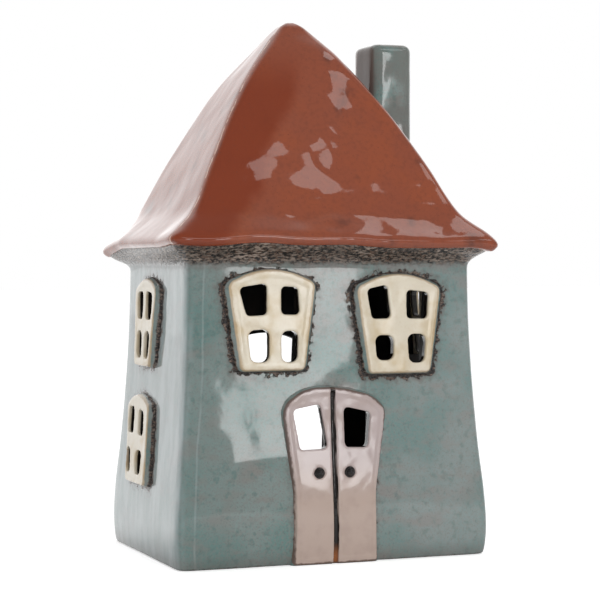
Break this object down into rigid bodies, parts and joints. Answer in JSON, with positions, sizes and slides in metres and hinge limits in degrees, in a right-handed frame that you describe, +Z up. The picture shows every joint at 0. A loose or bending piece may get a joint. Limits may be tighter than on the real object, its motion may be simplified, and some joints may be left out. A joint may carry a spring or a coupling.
{
  "type": "tealight house",
  "caption": "Glazed stoneware house with a bellcast hip roof, chimney, double door and paned windows, hollow, with a tealight that slides in through an arch in its back.",
  "frame": {"origin": "on the table, under the middle of the eaves", "axes": "+Z up, the front with the door faces -Y, the chimney is towards +X"},
  "size_m": [0.1543, 0.1112, 0.24],
  "materials": {
    "wall_glaze": "glossy mottled grey-green glaze",
    "oxide_band": "brown oxide under a thin grey-green glaze",
    "roof_glaze": "glossy terracotta glaze",
    "window_glaze": "satin cream glaze",
    "door_glaze": "glossy pinkish beige glaze",
    "knob_glaze": "glossy black glaze",
    "inner_glaze": "glossy black glaze inside, bare clay under the foot",
    "tealight_foil": "pressed foil",
    "tealight_wax": "white paraffin wax",
    "wick_tab": "stamped tin plate",
    "wick": "waxed cotton braid"
  },
  "bodies": {
    "house": {"floor": "inner_glaze", "wall_front": "wall_glaze", "wall_right": "wall_glaze", "wall_back": "wall_glaze", "wall_left": "wall_glaze", "cove_front": "oxide_band", "cove_right": "oxide_band", "cove_back": "oxide_band", "cove_left": "oxide_band", "roof_front": "roof_glaze", "roof_right": "roof_glaze", "roof_back": "roof_glaze", "roof_left": "roof_glaze", "chimney": "wall_glaze", "window_front_left": "window_glaze", "window_front_right": "window_glaze", "window_left_upper": "window_glaze", "window_left_lower": "window_glaze", "window_right_upper": "window_glaze", "window_right_lower": "window_glaze", "double_door": "door_glaze", "door_knob_left": "knob_glaze", "door_knob_right": "knob_glaze"},
    "tealight": {"tealight_cup": "tealight_foil", "tealight_wax": "tealight_wax", "wick_tab": "wick_tab", "wick": "wick"}
  },
  "joints": [
    {"name": "tealight_slide", "type": "slide", "parent": "house", "child": "tealight", "axis": [0, 1, 0], "range_m": [0, 0.09]}
  ]
}
